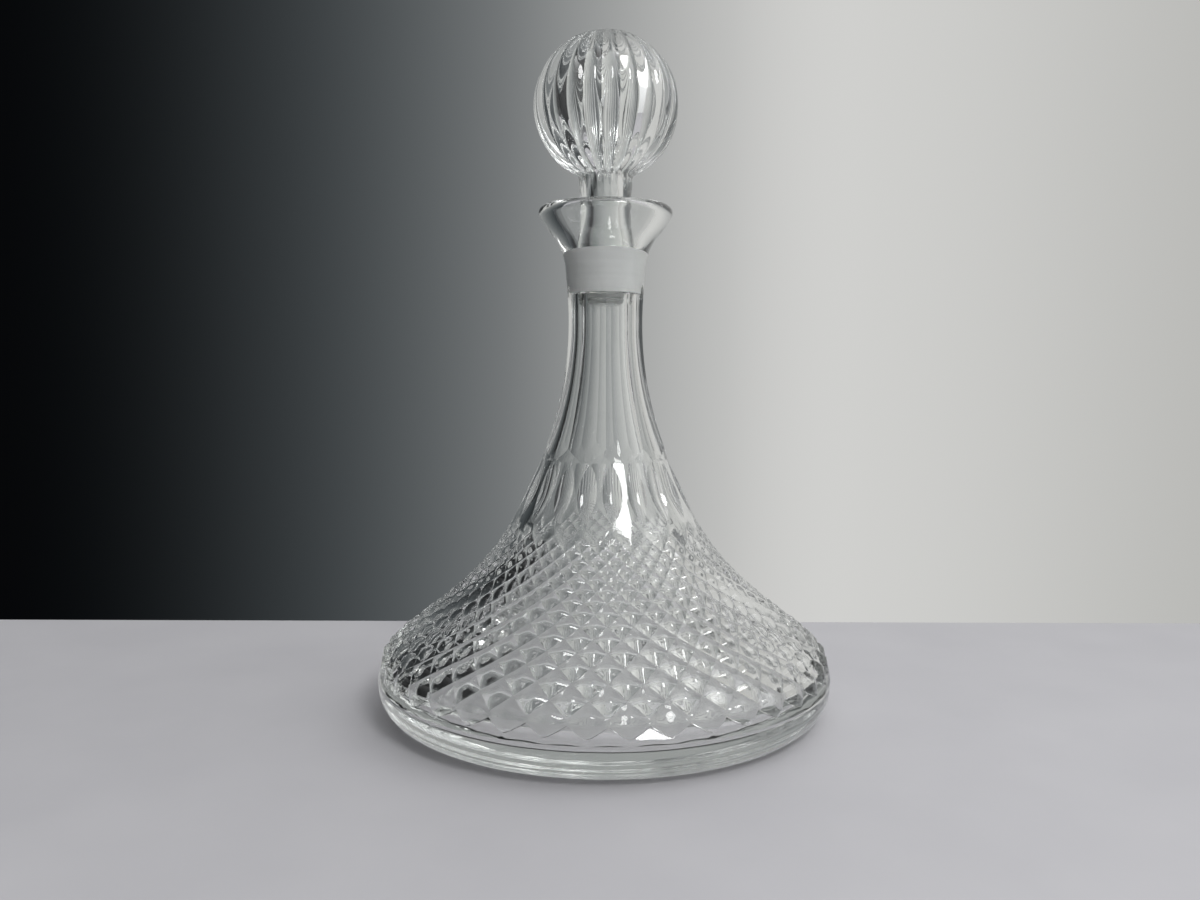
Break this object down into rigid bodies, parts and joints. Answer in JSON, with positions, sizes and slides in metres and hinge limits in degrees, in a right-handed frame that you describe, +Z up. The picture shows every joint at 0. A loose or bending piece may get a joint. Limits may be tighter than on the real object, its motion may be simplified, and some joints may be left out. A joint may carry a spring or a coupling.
{
  "type": "ships decanter",
  "caption": "Broad-based clear glass ship's decanter with a diamond-cut shoulder, leaf cuts, panelled neck and funnel lip, closed by a ribbed ball stopper that lifts out.",
  "frame": {"origin": "middle of the flat base, on the surface that the decanter stands on", "axes": "+Z up along the axis of turning, -Y towards the front that the picture shows"},
  "size_m": [0.18, 0.18, 0.2643],
  "materials": {
    "clear_glass": "fire polished",
    "stopper_glass": "fire polished, ground on the plug"
  },
  "bodies": {
    "vessel": {"decanter_body": "clear_glass"},
    "stopper": {"stopper": "stopper_glass"}
  },
  "joints": [
    {"name": "stopper_lift", "type": "slide", "parent": "vessel", "child": "stopper", "axis": [0, 0, 1], "range_m": [0, 0.045]}
  ]
}
